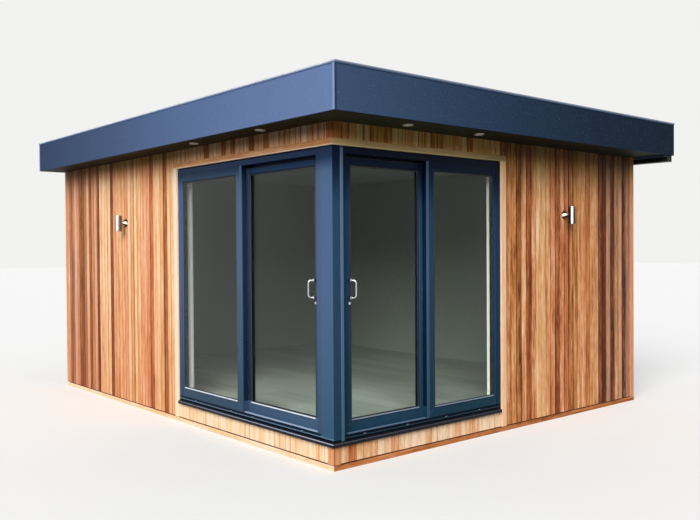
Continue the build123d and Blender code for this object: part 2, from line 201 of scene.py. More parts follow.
def cedar(name, lie="upright", shade=None):
    """Western red cedar, planed and oiled: each board has its own tone, from pale gold through
    salmon to chocolate, with long fine streaks, flame figure and a few small knots.

    lie is upright, or near or far for a piece that runs level round that corner. Boards also
    carry across, from 0 to 1 between their edges, with a rake of tone and a darker joint.
    """
    add = material(name, IOR=1.45, Specular_IOR_Level=0.04 if shade else 0.16)
    along, depth, height, in_front = wall_frame(add, lie == "far")
    point = object_point(add)
    if lie != "upright":
        point = add("CombineXYZ", along, depth, height)

    def lumps(width, length):
        """A pattern's sizes with its length along the grain."""
        return (width, width, length) if lie == "upright" else (length, width, width)

    tone, hue, seed, across, rake, joint, figure, bloom, eaves = (
        add("Attribute", attribute_name=mark, out="Fac")
        for mark in ("tone", "hue", "seed", "across", "rake", "joint", "figure", "bloom",
                     "eaves"))
    drift = add("VectorMath", (3.1, 5.3, 7.7), Scale=seed, operation="SCALE")
    own = add("VectorMath", point, drift, operation="ADD")
    noise = partial(cloud, add, point=own)
    streak = noise(lumps(2.6, 160), 3.0, 0.6)
    rings = add("SINE", add("MULTIPLY", noise(lumps(34, 620), 1.0), 62.0))
    knots = add("TexVoronoi", feature="F1", Vector=scaled(add, own, lumps(120, 620)),
                Scale=1.0, Randomness=1.0)
    eye = add("SMOOTH_MIN", add("MULTIPLY", knots, 9.0), 1.0, 0.2)
    level = tone
    for part in (centred(add, streak, 0.36), centred(add, noise(lumps(13, 900)), 0.36),
                 add("MULTIPLY", rings, 0.035), add("MULTIPLY_ADD", eye, 0.35, -0.35)):
        level = add("ADD", level, part)
    wild = add("ADD", centred(add, noise(lumps(17, 120), 3.0, 0.65), 0.55),
               centred(add, noise(lumps(45, 560)), 0.68))
    level = add("MULTIPLY_ADD", wild, add("ADD", figure, 0.2), level)
    aside = add("SUBTRACT", across, 0.5)
    level = add("MULTIPLY_ADD", aside, rake, level)
    edge = add("POWER", add("MULTIPLY", add("ABSOLUTE", aside), 2.0), 9.0)
    level = add("SUBTRACT", level, add("MULTIPLY", edge, joint))
    hue = add("ADD", hue, centred(add, noise(lumps(13, 900), 1.0), 0.6))
    colour = add("Blend", add("Clamp", hue),
                 *(add("ValToRGB", level, stops=stops) for stops in (GOLDEN, SALMON)))
    colour = add("Blend", bloom, colour, "F0D8C8")

    # Over the doors the light is greener and dimmer, away from the eaves' own shade
    green = add(
        "MULTIPLY", add("Curve", height, 2.0, 2.25, 0.0, 1.0), add("SUBTRACT", in_front, eaves))
    cast = (1.3, 1.38, 0.95, 1.0)
    if lie != "upright":
        cast = add("Blend", add("Slope", along, 1.15, 1.75, 0.0, 1.0),
                   (1.02, 1.14, 0.82, 1.0), (0.62, 0.72, 0.5, 1.0))
    colour = add("Blend", add("Clamp", green), colour, add("Tint", 1.0, colour, cast))
    # Painted shade under the eaves, on the boards marked eaves
    part_up = add("MULTIPLY", height, 0.4)
    under = add("Blend", in_front,
                *(add("ValToRGB", part_up, stops=stops) for stops in (SIDE_EAVES_SHADE, FRONT_EAVES_SHADE)))
    colour = add("Blend", eaves, colour, add("Tint", 1.0, colour, under))
    # A shade colour multiplies in, and on the front the piece darkens further away from the corner;
    # on the soffits both are painted shade
    if shade:
        away = add("Slope", add("MULTIPLY", along, in_front), 0.6, 1.7, 1.0, 0.42)
        colour = add("Tint", 1.0, add("Tint", 1.0, colour, shade), away)
    return finished(
        add, colour, (streak, 0.25, 0.45), add("ADD", streak, add("MULTIPLY", rings, 0.15)), 0.5)


def film(add, base, spread=0.08):
    """Tint and skin of a sprayed film: a faint orange peel and a soft change over a metre."""
    peel = cloud(add, (4, 4, 4))
    patch = cloud(add, (700, 700, 420), 3.0)
    tint = add("ADD", add("MULTIPLY_ADD", patch, 2 * spread, 1 - spread), centred(add, peel, 0.06))
    return add("Tint", 1.0, base, tint), peel, patch


def satin(add, base, roughness, relief_mm=1.6, spread=0.08):
    """Finishes a material as an even satin film."""
    base, peel, patch = film(add, base, spread)
    return finished(
        add, base, (patch, 0.12, roughness - 0.06), add("MULTIPLY_ADD", peel, 0.12, patch),
        relief_mm)


def coated_metal(name, colour, roughness=0.45, specular=0.15):
    """Powder-coated aluminium: an even satin film with a faint orange-peel skin."""
    return satin(material(name, Specular_IOR_Level=specular), colour, roughness)


def two_tone_metal(name, on_left, on_front):
    """Coated edges that catch the light: paler on the left wall, which faces the sky."""
    add = material(name, Specular_IOR_Level=0.1)
    base = add("Blend", wall_frame(add)[3], on_left, on_front)
    base, peel, patch = film(add, base)
    return finished(add, base, (peel, 0.2, 0.3), peel, 0.2)


def door_coating(name, on_left, on_front, room_mm, sunk_mm, proud_mm=None, proud="5A7290",
                 foot=0.0, shaded_from=None):
    """The doors' satin powder coat: dark blue outside, and white on the room side of room_mm.
    The head and the returns past sunk_mm are deeper, and the low parts greener; foot is how much
    deeper the rail on the cill is. On the left wall, faces past shaded_from mm stand in a
    shadow, and the rail below them shows the sky."""
    add = material(name, Specular_IOR_Level=0.06)
    along, depth, level, in_front = wall_frame(add)
    left = add("SUBTRACT", 1.0, in_front)
    # Painted light: the left wall, which faces the sky, takes a paler blue than the shaded front
    base = add("Blend", in_front, on_left, on_front)

    # Shade: returns sunk into the wall, the head of the doors and the rail on the cill
    sunk = add("Slope", depth, sunk_mm * MM, (sunk_mm + 4) * MM, 0.0, 0.72)
    sunk = add("MULTIPLY", sunk, add("GREATER_THAN", level, LOW_RAIL_TOP * MM))
    high = add("Curve", level, add("MULTIPLY_ADD", in_front, -0.27, 2.02), 2.14,
               1.0, add("MULTIPLY_ADD", in_front, -0.16, 0.34))
    below = add("MULTIPLY", add("LESS_THAN", level, SILL_TOP * MM), foot)
    shade = add("MULTIPLY", add("SUBTRACT", 1.0, sunk), high)
    shade = add("MULTIPLY", shade, add("SUBTRACT", 1.0, below))
    deep = (add("POWER", shade, power) for power in (1.5, 1.15, 0.85))
    base = add("Tint", 1.0, base, add("CombineColor", *deep))
    if shaded_from:
        past = add("GREATER_THAN", along, shaded_from * MM)
        base = add("Blend", add("MULTIPLY", left, past), base, "26344A")
        rail = add("MULTIPLY", left, add("LESS_THAN", level, LOW_RAIL_TOP * MM))
        base = add("Blend", rail, base, "53658B")
    # Painted highlight: faces proud of proud_mm take a paler blue
    if proud_mm:
        base = add("Blend", add("LESS_THAN", depth, proud_mm * MM), base, proud)

    # The ground's greener light on the lowest metre
    away = add("Slope", add("MULTIPLY", along, left), 0.3, 1.3, 0.0, 1.0)
    cast = add("Blend", away, (0.5, 0.72, 0.67, 1.0), (0.45, 0.58, 0.58, 1.0))
    base = add(
        "Blend", add("Slope", level, 0.25, 1.3, 1.0, 0.0), base, add("Tint", 1.0, base, cast))
    inside = add("GREATER_THAN", depth, room_mm * MM)
    return satin(add, add("Blend", inside, base, "F4F6F6"), 0.42)


def fascia_coating(name, colour, axis, near, far, stops):
    """Satin film on the deep fascia boards, with dried rain spots. Along the axis a painted sheen
    falls off from the glazed corner, by a ramp of greys that darkens the colour."""
    add = material(name, Specular_IOR_Level=0.04)
    part_way = add("Slope", add("SeparateXYZ", object_point(add), out=axis), near, far, 0.0, 1.0)
    base = add("Tint", 1.0, colour, add("ValToRGB", part_way, stops=stops))
    spots = add("GREATER_THAN", cloud(add, (11, 11, 9)), 0.665)
    base = add("Blend", add("MULTIPLY", spots, 0.1), base, "C9D6E6")
    return satin(add, base, 0.6, 1.2, 0.05)


def corner_strip_metal():
    """The cover strip on the fascia's corner, in painted light: pale on the side that faces the
    sky, dark on the other.
    """
    add = material("fascia_corner_strip", Specular_IOR_Level=0.15)
    x = add("SeparateXYZ", object_point(add))
    sky_side = add("LESS_THAN", x, (CORNER_X - 270.5) * MM)
    base, peel, patch = film(add, add("Blend", sky_side, "22365A", "7F96C0"))
    return finished(add, base, (peel, 0.1, 0.35), peel, 0.3)


def cill_metal():
    """The projecting cill: a band of its nose painted pale as a highlight, paler on the left wall
    and darkening away from the corner, a shadowed underside, and a black top that runs under the
    frames."""
    add = material("black_coated_cill", Specular_IOR_Level=0.15)
    along, depth, level, in_front = wall_frame(add)
    nose = add("Tint", 1.0, add("Blend", in_front, "99A1B8", "45464F"),
               add("Slope", along, 0.2, 2.0, 1.0, 0.36))
    dark = add("MAXIMUM", add("LESS_THAN", level, 184 * MM), add("GREATER_THAN", depth, -24.5 * MM))
    base, peel, patch = film(add, add("Blend", dark, nose, "0E131D"))
    return finished(add, base, (patch, 0.2, 0.3), peel, 0.3)


def edge_cap_metal():
    """The folded cap on the fascias: the film of the fascia below it, paler on its sunny side, and
    a top fold painted pale and mottled as its highlight, most on that side."""
    add = material("edge_cap_painted_highlight", Specular_IOR_Level=0.4)
    bloom = cloud(add, (55, 55, 30), 4.0, 0.7)
    x, y, level = add("SeparateXYZ", object_point(add), out=None)
    upper = add("GREATER_THAN", add("ADD", level, centred(add, bloom, 4.0 * MM)), 2657.5 * MM)
    sunny = add("LESS_THAN", x, (CORNER_X - 268.0) * MM)
    pale = add("Blend", sunny, "7F90A8", add("ValToRGB", bloom, stops=[
        (0.25, "B4C4D4"), (0.7, "E2E8EC")]))
    base = add("Blend", upper, add("Blend", sunny, "3A5072", "6078A4"), pale)
    return finished(add, base, (bloom, 0.3, 0.35), bloom, 0.3)


def bright_metal(name, colour, roughness):
    """Chrome or polished steel, with a faint wipe of cloudiness."""
    add = material(name, Metallic=1.0)
    wipe = cloud(add, (30, 30, 30), 3.0)
    base = add("ValToRGB", wipe, stops=[(0.0, colour), (1.0, "FFFFFF")])
    return finished(
        add, add("Blend", 0.25, colour, base), (wipe, 0.16, roughness - 0.08), wipe, 0.02)


def lamp_steel(name, centre, stops, toward=(0.76, -0.65, 0.0), width=62):
    """Brushed stainless steel with its reflections painted in: hair lines round it, and dull and
    bright bands of painted reflection side by side, by the distance from its centre toward one
    side."""
    add = material(name, Metallic=1.0)
    aside = add(
        "VectorMath", object_point(add), tuple(c * MM for c in centre), operation="SUBTRACT")
    right = add("VectorMath", aside, toward, operation="DOT_PRODUCT")
    bands = add("ValToRGB", add("MULTIPLY_ADD", right, 1000 / width, 0.5), stops=stops)
    hair = cloud(add, (60, 60, 1.2), 3.0)
    base = add("Blend", add("MULTIPLY", hair, 0.25), bands, "8C8780")
    return finished(add, base, (hair, 0.16, 0.26), hair, 0.05)


def plastic(name, colour, roughness=0.5, dusty=0.3, specular=0.5):
    """Moulded or extruded plastic and rubber, with a very fine matt grain and a little dust."""
    add = material(name, Specular_IOR_Level=specular)
    dust = cloud(add, (160, 160, 160), 4.0)
    base = add("Blend", add("MULTIPLY", dust, dusty), colour, "77756E")
    return finished(add, base, (dust, 0.2, roughness - 0.1), cloud(add, (1.2, 1.2, 1.2)), 0.12)


def rubber_membrane():
    """Rubber roof sheet: soot black weathered to grey, with shallow wrinkles and dried puddles."""
    add = material("weathered_rubber_roof", Specular_IOR_Level=0.35)
    puddle = cloud(add, (520, 520, 520), 5.0, 0.6)
    speck = cloud(add, (7, 7, 7))
    colour = add("ValToRGB", add("ADD", puddle, centred(add, speck, 0.5)),
                 stops=[(0.2, "2B2D2E"), (0.55, "3C3F40"), (0.8, "5A5C59")])
    wrinkle = cloud(add, (90, 340, 90))
    return finished(
        add, colour, (puddle, 0.3, 0.55), add("MULTIPLY_ADD", speck, 0.08, wrinkle), 2.5)


def wall_paint(name, colour):
    """Emulsion on plasterboard, with the fine stipple of a roller and white door reveals."""
    add = material(name, Specular_IOR_Level=0.25)
    stipple = cloud(add, (5, 5, 5), 3.0)
    cast = cloud(add, (900, 900, 900))
    base = add("Blend", add("MULTIPLY", cast, 0.25), colour, "6E746A")
    along, depth, level, in_front = wall_frame(add)
    opening = add("MULTIPLY_ADD", in_front, (FRONT_OPENING - LEFT_OPENING) * MM, LEFT_OPENING * MM)
    reveal = add("COMPARE", along, opening, 3 * MM)
    return finished(add, add("Blend", reveal, base, "F4F6F6"), (stipple, 0.15, 0.7), stipple, 0.08)


def laminate():
    """Laminate floor: grey-green oak decor in planks 193 x 1290 mm, with fine bevelled joints, and
    painted light that brightens it near the glazed corner and dims it further in."""
    add = material("grey_oak_laminate", Specular_IOR_Level=0.5)
    point = object_point(add)
    x, y, level = add("SeparateXYZ", point, out=None)
    decor, joint = add(
        "TexBrick", offset=0.37, squash=1.0, out=None, Vector=add("CombineXYZ", y, x),
        Color1=(0.25, 0.25, 0.25, 1), Color2=(0.85, 0.85, 0.85, 1), Mortar=(0.0, 0.0, 0.0, 1),
        Scale=1.0, Mortar_Size=1.2 * MM, Bias=0.0, Brick_Width=1290 * MM, Row_Height=193 * MM)
    own = add("VectorMath", point, decor, operation="ADD")
    grain = cloud(add, (9, 420, 9), 4.0, 0.6, own)
    tone = add("MULTIPLY_ADD", grain, 0.55, add("MULTIPLY", decor, 0.45))
    colour = add("ValToRGB", tone, stops=[(0.15, "84948A"), (0.45, "A4B3A9"), (0.75, "C0CCC4")])
    # Painted light: brighter near the glazed corner, darker further in
    colour = add("Tint", 1.0, colour, add("Slope", wall_frame(add)[0], 0.4, 2.2, 1.4, 0.8))
    height = add("SUBTRACT", add("MULTIPLY", grain, 0.15), joint)
    return finished(add, add("Blend", joint, colour, "3E3D36"), (grain, 0.2, 0.3), height, 0.6)


def clear_glass(name, ior):
    """Float glass: clear, faintly green, with the sky on it. Lamps and soft light pass it."""
    add = nodes_for(bpy.data.materials.new(name))
    smear = centred(add, cloud(add, (260, 260, 420), 3.0), 0.4)
    path = add("LightPath", out=None)
    lit = add("MAXIMUM", path["Is Shadow Ray"], path["Is Diffuse Ray"])
    height = cloud(add, (700, 700, 900), 1.0)
    glass = add(
        "BsdfPrincipled", Base_Color="FAFDFB", Transmission_Weight=1.0, IOR=ior,
        Specular_IOR_Level=0.5, Roughness=add("MULTIPLY", add("MAXIMUM", smear, 0.0), 0.1),
        Normal=add("Bump", Strength=1.0, Distance=0.6 * MM, Height=height))
    add("OutputMaterial", out=None,
        Surface=add("MixShader", lit, glass, add("BsdfTransparent", "FFFFFF")))
    return add.args[0]


def frosted_lens():
    """A lamp's opal lens: milky, a little warm, dulled by fine prisms."""
    add = material("opal_lens", Transmission_Weight=0.25, Specular_IOR_Level=0.5, IOR=1.49)
    prisms = cloud(add, (2, 2, 2), 1.0)
    base = add("ValToRGB", prisms, stops=[(0.2, "DCD9CC"), (0.8, "F3F0E4")])
    return finished(add, base, (prisms, 0.2, 0.3), prisms, 0.3)


# Meshes

def mesh_object(name, points, faces):
    """An object at the origin from arrays of points and faces."""
    mesh = bpy.data.meshes.new(name)
    mesh.from_pydata(np.asarray(points).tolist(), [], faces)
    mesh.update()
    made = bpy.data.objects.new(name, mesh)
    bpy.context.scene.collection.objects.link(made)
    return made


def finish_with(made_of, *pieces):
    """Gives pieces, or nodes by name, one material."""
    for piece in pieces:
        piece = nodes[piece] if isinstance(piece, str) else piece
        piece.data.materials.clear()
        piece.data.materials.append(made_of)


def place(side, along, depth, level):
    """Millimetres on one wall as metres in the shared frame. The far walls count depth inwards
    from their own boards, and along from their left-hand or front end."""
    along, depth, level = np.broadcast_arrays(
        *(np.asarray(values, float) for values in (along, depth, level)))
    x, y = {"front": (along, depth), "left": (depth, along), "back": (along, SIDE_LENGTH - depth),
            "right": (FRONT_LENGTH - depth, along)}[side]
    return np.stack([x + CORNER_X, y + CORNER_Y, level], -1) * MM


def handed(side, rings):
    """Rings as they are on the front wall, and the other way round on the left one, which
    mirrors it."""
    return rings if side == "front" else rings[:, ::-1]


def bars(name, rings, made_of, body="building", slot=None, stands_for=(), closed=False,
         bevel_mm=0.0, across=None, **marks):
    """Closed bars, each a row of rings of points: quads join neighbouring rings, and the first
    and last are capped, or joined to each other where the bar is closed. All faces turn over if
    the volume they hold, a sixth of the sum of their corners' triple products, is negative.
    marks are one value a bar, and across is one value for each point of a ring."""
    rings = np.asarray(rings, float)
    count, stations, around, _ = rings.shape
    index = np.arange(count * stations * around).reshape(count, stations, around)
    here, ahead = (index, np.roll(index, -1, 1)) if closed else (index[:, :-1], index[:, 1:])
    quads = [here, np.roll(here, -1, 2), np.roll(ahead, -1, 2), ahead]
    quads = np.stack(quads, -1).reshape(-1, 4)
    caps = np.concatenate([index[:, 0, ::-1], index[:, -1]])[:0 if closed else None]
    flat = rings.reshape(-1, 3)
    volume = 0.0
    for faces in (quads, caps):
        corners = flat[faces] - flat.mean(0)
        for k in range(1, faces.shape[1] - 1):
            volume += np.sum(corners[:, 0] * np.cross(corners[:, k], corners[:, k + 1]))
    if volume < 0:
        quads, caps = quads[:, ::-1], caps[:, ::-1]
    piece = mesh_object(name, flat, quads.tolist() + caps.tolist())
    marks = {mark: np.reshape(values, (-1, 1, 1)) for mark, values in marks.items()}
    if across is not None:
        marks["across"] = np.reshape(across, (1, 1, -1))
    for mark, values in marks.items():
        layer = piece.data.attributes.new(mark, "FLOAT", "POINT")
        values = np.broadcast_to(values, (count, stations, around)).astype(np.float32)
        layer.data.foreach_set("value", values.ravel())
    if bevel_mm:
        soft = piece.modifiers.new("arris", "BEVEL")
        soft.width, soft.segments = bevel_mm * MM, 2
        soft.limit_method, soft.angle_limit = "ANGLE", np.radians(40)
    finish_with(made_of, piece)
    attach(piece, body)
    if stands_for:
        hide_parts(*stands_for)
    return piece


def turned(name, centres, axis, profile, made_of, slot, stands_for=(), steps=40):
    """Lathe work: each profile point (radius, place) goes round the axis through a centre in
    even steps, then points on the axis are merged. axis is x, y or z, and lengths are mm."""
    radius, place_on = np.array(profile, float).T
    turn = np.linspace(0, 2 * np.pi, steps, endpoint=False)[:, None]
    first, second = radius * np.cos(turn), radius * np.sin(turn)
    third = np.broadcast_to(place_on, first.shape)
    one = np.stack({"x": (third, first, second), "y": (second, third, first),
                    "z": (first, second, third)}[axis], -1)
    rings = (one[None] + np.array(centres, float)[:, None, None, :]) * MM
    mesh = bars(name, rings, made_of, slot=slot, stands_for=stands_for, closed=True).data
    merged = bmesh.new()
    merged.from_mesh(mesh)
    bmesh.ops.remove_doubles(merged, verts=merged.verts, dist=1e-6)
    bmesh.ops.dissolve_degenerate(merged, edges=merged.edges, dist=1e-7)
    merged.to_mesh(mesh)
    merged.free()
    mesh.polygons.foreach_set("use_smooth", np.ones(len(mesh.polygons), bool))
    mesh.set_sharp_from_angle(angle=np.radians(35))


def in_frame(x, y, level):
    """Millimetres from the glazed corner as millimetres from the shared frame's origin."""
    return (x + CORNER_X, y + CORNER_Y, level)


def corner_run(name, profile, front_end, left_end, made_of, far=False, mitred=True, **options):
    """A section of (depth, level) points carried along two walls, as two bars with a hairline
    mitre at their corner or as one. The far corner is between the back and right walls."""
    depth, level = np.array(profile, float).T
    hairline = 0.15 if mitred else 0.0
    x = np.stack([np.full_like(depth, front_end), depth + hairline, depth, depth])
    y = np.stack([depth, depth, depth + hairline, np.full_like(depth, left_end)])
    if far:
        x, y = FRONT_LENGTH - x, SIDE_LENGTH - y
    rings = place("front", x, y, level)
    rings = rings.reshape(2, 2, -1, 3) if mitred else rings[None, [0, 1, 3]]
    bars(name, rings, made_of, **options)


def straight_run(side, low, high, section):
    """A section of (depth, level) points carried along one wall from low to high."""
    depth, level = np.array(section, float).T
    return handed(side, np.stack([place(side, end, depth, level) for end in (low, high)]))


def round_hole(side, hole, profile):
    """A section of (inset, depth) points carried round an opening, with mitred corners."""
    (x0, z0), (x1, z1) = hole
    inset, depth = np.array(profile, float).T
    along = np.stack([x0 + inset, x1 - inset, x1 - inset, x0 + inset])
    level = np.stack([z0 + inset, z0 + inset, z1 - inset, z1 - inset])
    return handed(side, place(side, along, depth, level))


def slab(side, hole, profile):
    """A plate that fills an opening: one loop of its corners for each (inset, depth)."""
    return round_hole(side, hole, profile).swapaxes(0, 1)


# Cedar boards

def ladder(anchor, pitch, low, high, least=14.0):
    """Board edges from low to high: the two ends, and every anchor + k x pitch between them
    that leaves no sliver narrower than least."""
    k = np.arange(np.ceil((low - anchor) / pitch), np.floor((high - anchor) / pitch) + 1)
    inner = anchor + k * pitch
    inner = inner[(inner > low + least) & (inner < high - least)]
    return np.concatenate([[low], inner, [high]])


BOARD_SIDES = np.repeat([0.0, 1.0], 5)


def board_sections(edges, thickness=SKIN):
    """Across and depth of each board's outline: flat face, 1.3 mm chamfers, a 2.4 mm joint
    between neighbours, and laps behind it that meet."""
    lap = 0.42 * thickness
    half = np.array([(0.05, thickness - 0.1), (0.05, lap), (1.2, lap), (1.2, 1.3), (2.4, 0.0)])
    inset, depth = np.concatenate([half, half[::-1]]).T
    across = np.where(BOARD_SIDES == 0, edges[:-1, None] + inset, edges[1:, None] - inset)
    return across, np.broadcast_to(depth, across.shape)


def tones(count, seed, pale=(), middling=(), brown=(), dark=(), salmon=(), shifts=(),
          silvered=(), weathered=(), plain=0.56, figure=0.7, eaves=0.0, bloom=0.0, pink=1.0):
    """Tone from 0, chocolate, to 1, palest, and hue from 0, gold, to 1, salmon, for each board.
    Boards that aren't named are near the plain tone, and shifts are (boards, change of tone).
    Each has its own rake of tone across it, depth of joint, strength of figure and bloom."""
    rng = np.random.default_rng(seed)
    tone = rng.uniform(plain - 0.04, plain + 0.05, count)
    hue = rng.uniform(0.1, 0.55, count)
    for chosen, low, high in ((pale, plain + 0.1, plain + 0.17), (middling, 0.38, 0.48),
                              (brown, 0.26, 0.34), (dark, 0.13, 0.19)):
        picked = [k for k in chosen if k < count]
        tone[picked] = rng.uniform(low, high, len(picked))
    for chosen, change in shifts:
        tone[chosen] += change
    picked = [k for k in salmon if k < count]
    hue[picked] = rng.uniform(0.75, 1.0, len(picked))
    silver = np.full(count, bloom)
    silver[list(silvered)] += 0.2
    silver[list(weathered)] = 0.11
    seeds = rng.uniform(0, 40, count)
    joint = np.where(rng.random(count) < 0.3, 0.36, rng.uniform(0.05, 0.17, count))
    return {"tone": tone, "hue": hue * pink, "seed": seeds, "joint": joint,
            "rake": np.clip(rng.normal(0, 0.09, count), -0.17, 0.17),
            "figure": figure * rng.uniform(0.6, 1.4, count),
            "bloom": silver, "eaves": np.full(count, eaves)}


cedar_upright = cedar("oiled_red_cedar_boards")
cedar_level = cedar("oiled_red_cedar_battens", "near")
cedar_level_far = cedar("oiled_red_cedar_battens_far", "far")
soffit_cedar = cedar("shaded_cedar_soffit", "near", "333E3A")


def board_wall(name, side, edges, low, high, node, seed, **look):
    """A wall or band of boards, each outline carried straight up from low to high."""
    across, depth = board_sections(edges)
    rings = np.stack([place(side, across, depth, level) for level in (low, high)], 1)
    bars(name, rings, cedar_upright, slot="cedar", stands_for=[node], across=BOARD_SIDES,
         **tones(len(edges) - 1, seed, **look))


def walls_of_boards():
    """All four walls, the bands over the doors and the bands under them."""
    board_wall(
        "front_boards", "front",
        ladder(FRONT_JOINT, FRONT_PITCH, FRONT_BATTEN, FRONT_LENGTH - TRIM), BOARD_FOOT, SOFFIT,
        "front_cladding", 11, pale=(3, 6, 7), middling=(12, 13, 14, 17, 22, 24, 25),
        brown=(2, 4, 10, 27), dark=(20, 21, 23, 26), salmon=(4, 9, 11, 12, 20),
        shifts=[([2, 6, 7, 12, 16, 20, 25], 0.06), ([10, 19, 21, 22, 23, 24, 27], -0.05)],
        silvered=(22, 25, 27), weathered=(19, 24), figure=1.0, eaves=1.0)
    board_wall(
        "left_boards", "left", ladder(LEFT_JOINT, LEFT_PITCH, LEFT_BATTEN, SIDE_LENGTH - TRIM),
        BOARD_FOOT, SOFFIT, "left_cladding", 23, pale=(0, 1, 4, 5, 10, 11, 13, 20, 21, 22, 23),
        middling=(6, 26, 32, 34), brown=(2, 19, 24, 27, 29, 30, 31, 35),
        salmon=(6, 7, 8, 9, 14, 17, 18, 25, 28, 32, 33, 34, 36),
        # The tone drops from board 23 on are painted shade towards the far end of the wall
        shifts=[([3, 4, 11, 15, 16, 26, 35], 0.06), ([5, 6, 10, 18, 19], -0.05),
                ([27, 28, 33, 34], -0.05), (slice(25, None), -0.05), (slice(26, 32), 0.05),
                (slice(23, 25), -0.03)], silvered=(25, 28, 32, 33, 36),
        weathered=(26, 29, 34, 35, 36), plain=0.67, figure=0.5, eaves=1.0)
    for side, length, seed in (("back", FRONT_LENGTH, 5), ("right", SIDE_LENGTH, 7)):
        edges = ladder(TRIM, 66.8, TRIM, length - TRIM)
        count = len(edges) - 1
        pick = np.random.default_rng(seed).permutation(count)
        half = count // 2
        pale, middling, brown, dark = np.split(pick[:half + 2], [count // 5, count // 3, half - 2])
        board_wall(f"{side}_boards", side, edges, BOARD_FOOT, SOFFIT, f"{side}_cladding",
                   seed + 1, pale=pale, middling=middling, brown=brown, dark=dark, salmon=pick[::3])
    board_wall(
        "front_header_boards", "front", ladder(FRONT_JOINT, FRONT_PITCH, TRIM, FRONT_BATTEN),
        TRIM_TOP, SOFFIT, "header_cladding", 31, pale=(3, 8, 9, 11, 19),
        middling=(0, 1, 5, 6, 7, 14, 15), brown=(20, 26), salmon=(1, 7, 10, 20), plain=0.64,
        figure=0.9, shifts=[(slice(None), 0.06)])
    board_wall(
        "left_header_boards", "left", ladder(LEFT_JOINT, LEFT_PITCH, TRIM, LEFT_BATTEN), TRIM_TOP,
        SOFFIT, "header_cladding", 37, pale=(4, 9, 15, 22, 27), middling=(11, 18, 24),
        brown=(14, 20), salmon=(2, 8, 17, 26), plain=0.74)
    board_wall(
        "front_plinth_boards", "front", ladder(132.0, FRONT_PITCH, TRIM, FRONT_OPENING), BOARD_FOOT,
        CILL_FOOT, "plinth_cladding", 41, middling=(1,), salmon=(1, 6, 7), plain=0.91,
        shifts=[([0, 3, 4, 7], -0.18), ([12, 13, 17, 18, 20], -0.1)])
    board_wall("left_plinth_boards", "left", ladder(561.0, LEFT_PITCH, TRIM, LEFT_OPENING),
               BOARD_FOOT, CILL_FOOT, "plinth_cladding", 43, plain=0.91, figure=0.4, pink=0.6)


trim = partial(bars, slot="cedar_trim")
trim_run = partial(corner_run, slot="cedar_trim")


def corner_angles():
    """L-shaped corner pieces, each carried up from low to high; far ends are mirrored."""
    out, back, leg = -4.0, SKIN - 0.2, TRIM - 0.3
    outline = np.array([(out, out), (leg, out), (leg, back), (back, back), (back, leg), (out, leg)])
    angles = []
    for x_far, y_far, low, high in ((1, 0, BOARD_FOOT, SOFFIT), (1, 1, BOARD_FOOT, SOFFIT),
                                    (0, 1, BOARD_FOOT, SOFFIT), (0, 0, TRIM_TOP, SOFFIT),
                                    (0, 0, BOARD_FOOT, CILL_FOOT)):
        x, y = outline[::-1 if x_far != y_far else 1].T
        x, y = FRONT_LENGTH - x if x_far else x, SIDE_LENGTH - y if y_far else y
        angles.append([place("front", x, y, level) for level in (low, high)])
    trim("corner_angles", angles, cedar_upright, stands_for=["corner_trims"], bevel_mm=1.8,
         tone=[0.6, 0.56, 0.6, 0.42, 0.62], hue=[0.9, 0.5, 0.7, 0.8, 0.8], seed=[3, 9, 14, 22, 31])


def cedar_trims():
    """Door battens and the strip round the foot, with softened arrises."""
    battens = [handed(side, np.stack([place(
        side, start + np.array([0.2, SIDE_TRIM, SIDE_TRIM, 0.2]), [-10, -10, SKIN, SKIN], level)
        for level in (BOARD_FOOT, DOOR_HEAD)]))
        for side, start in (("front", FRONT_OPENING), ("left", LEFT_OPENING))]
    trim("door_side_battens", battens, cedar_upright, stands_for=["door_side_trims"], bevel_mm=2.5,
         tone=[0.86, 0.98], hue=[0.6, 0.15], seed=[5, 12])
    trim_run(
        "door_head_batten",
        [(-10, DOOR_HEAD), (-10, TRIM_TOP), (SKIN, TRIM_TOP), (SKIN, DOOR_HEAD)], FRONT_BATTEN,
        LEFT_BATTEN, cedar_level, stands_for=["door_head_trims"], bevel_mm=2.5, tone=[0.64, 0.64],
        hue=[0.0, 0.4], seed=[17, 21], figure=0.4, bloom=[0.35, 0.0])
    # A thin drip under the head batten, toned pale as a painted highlight along the batten's lower
    # edge
    trim_run(
        "door_head_drip",
        [(-12, 2200.2), (-12, 2207.5), (-10.8, 2208.6), (-9.5, 2208.6), (-9.5, 2200.2)],
        FRONT_BATTEN - 0.4, LEFT_BATTEN - 0.4, cedar_level, tone=[0.84, 0.97], hue=[0.1, 0.3],
        seed=[29, 35], bloom=[0.7, 0.0])
    foot = [(-5, 0), (-5, 31), (-2, 34), (SKIN - 0.3, 34), (SKIN - 0.3, 0)]
    trim_run(
        "foot_strip_near", foot, FRONT_LENGTH + 5, SIDE_LENGTH + 5, cedar_level,
        stands_for=["base_strips"], tone=[0.42, 0.9], hue=[0.5, 0.15], seed=[7, 13], figure=0.4)
    trim_run(
        "foot_strip_shadow", [(-1.6, 34.2), (-1.6, 43.0), (-0.2, 43.0), (-0.2, 34.2)],
        FRONT_LENGTH - TRIM, SIDE_LENGTH - TRIM, cedar_level, tone=[0.0, 0.06], hue=0.4,
        seed=[2, 4])
    arris = [place("front", [-1.0, 4.5, 4.5, -1.0], [-4.9, -4.9, -4.1, -4.1], level)
             for level in (BOARD_FOOT, CILL_FOOT)]
    trim("plinth_corner_joint", [arris], cedar_upright, tone=0.12, hue=0.6, seed=6)
    trim_run(
        "foot_strip_far", foot, FRONT_LENGTH - SKIN, SIDE_LENGTH - SKIN, cedar_level_far, far=True,
        stands_for=["base_strips"], tone=[0.5, 0.56], hue=0.3, seed=[19, 24], figure=0.4)


